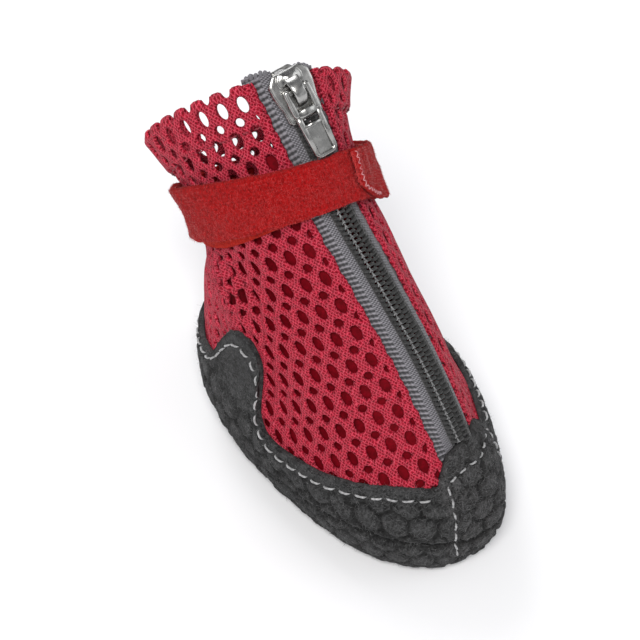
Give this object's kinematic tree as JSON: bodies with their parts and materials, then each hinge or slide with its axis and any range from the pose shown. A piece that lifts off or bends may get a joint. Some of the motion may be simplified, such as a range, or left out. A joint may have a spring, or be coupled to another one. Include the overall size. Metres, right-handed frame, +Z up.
{
  "type": "dog boot",
  "caption": "Soft dog boot: felt sole with a wall and side lobes, open knitted mesh upper, front zip from toe to collar, and a wrap strap round the ankle.",
  "frame": {"origin": "centre of the sole's bearing face, on the floor", "axes": "+Z up, -Y to the toe, +X to the boot's left side"},
  "size_m": [0.0566, 0.1033, 0.1055],
  "materials": {
    "felt_sole": "rough felted fabric with raised round grip dots, charcoal",
    "felt_toe": "rough felted fabric, charcoal, stitched round its edge",
    "insole": "plain woven lining, dark grey",
    "mesh": "open knitted mesh, crimson",
    "tape": "woven tape, mid grey",
    "coil": "moulded coil with grey chain stitch",
    "slider_metal": "silver plated die casting",
    "pull_metal": "silver plated die casting",
    "strap": "brushed loop pile, red",
    "strap_under": "brushed loop pile, brighter red"
  },
  "bodies": {
    "boot": {"outsole": "felt_sole", "toe_cap": "felt_toe", "insole": "insole", "upper": "mesh", "zip_tape_left": "tape", "zip_tape_right": "tape", "zip_coil": "coil", "zip_slider": "slider_metal", "strap_band": "strap", "strap_tab": "strap", "strap_under": "strap_under"},
    "pull": {"zip_pull": "pull_metal"}
  },
  "joints": [
    {"name": "pull_swing", "type": "hinge", "parent": "boot", "child": "pull", "pos_m": [-0.00389, 0.02574, 0.10216], "axis": [-0.9547, 0.211, -0.2097], "range_deg": [0, 165]}
  ]
}
